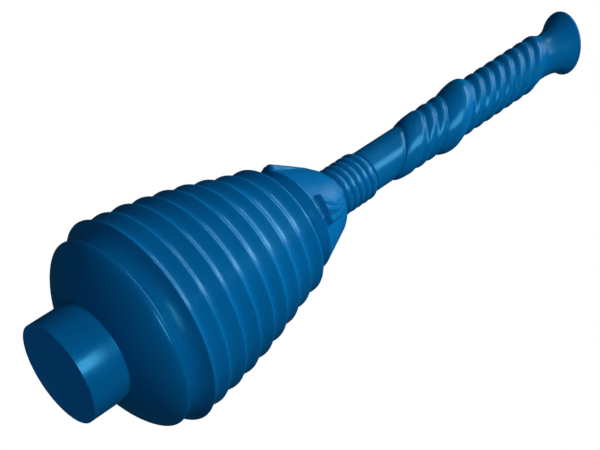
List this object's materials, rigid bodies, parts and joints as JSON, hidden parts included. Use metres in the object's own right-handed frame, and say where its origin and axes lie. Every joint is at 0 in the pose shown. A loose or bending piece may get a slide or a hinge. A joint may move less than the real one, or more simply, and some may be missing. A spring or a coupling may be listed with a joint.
{
  "type": "toilet plunger",
  "caption": "Accordion bellows toilet plunger in moulded plastic, with a round outlet nozzle, finned shoulder, ribbed neck and a slant-ringed handle with a flared end.",
  "frame": {"origin": "centre of the nozzle's mouth, on the floor that the upright tool stands on", "axes": "+Z along the tool's axis from the nozzle's mouth to the handle's flared end, -Y the front, where the middle fan of fingers is"},
  "size_m": [0.14, 0.14, 0.486],
  "materials": {
    "nozzle": "semi-gloss, dark inside",
    "bellows": "semi-gloss",
    "shoulder": "semi-gloss",
    "ribbed_neck": "semi-gloss",
    "handle": "semi-gloss",
    "flared_end": "semi-gloss"
  },
  "bodies": {
    "base": {"nozzle": "nozzle", "bellows": "bellows"},
    "upper": {"shoulder": "shoulder", "ribbed_neck": "ribbed_neck", "handle": "handle", "flared_end": "flared_end"}
  },
  "joints": [
    {"name": "bellows_stroke", "type": "slide", "parent": "base", "child": "upper", "axis": [0, 0, 1], "range_m": [-0.07, 0], "stiffness_N_per_m": 700, "springref_m": 0.006, "deforming": ["bellows"]}
  ]
}
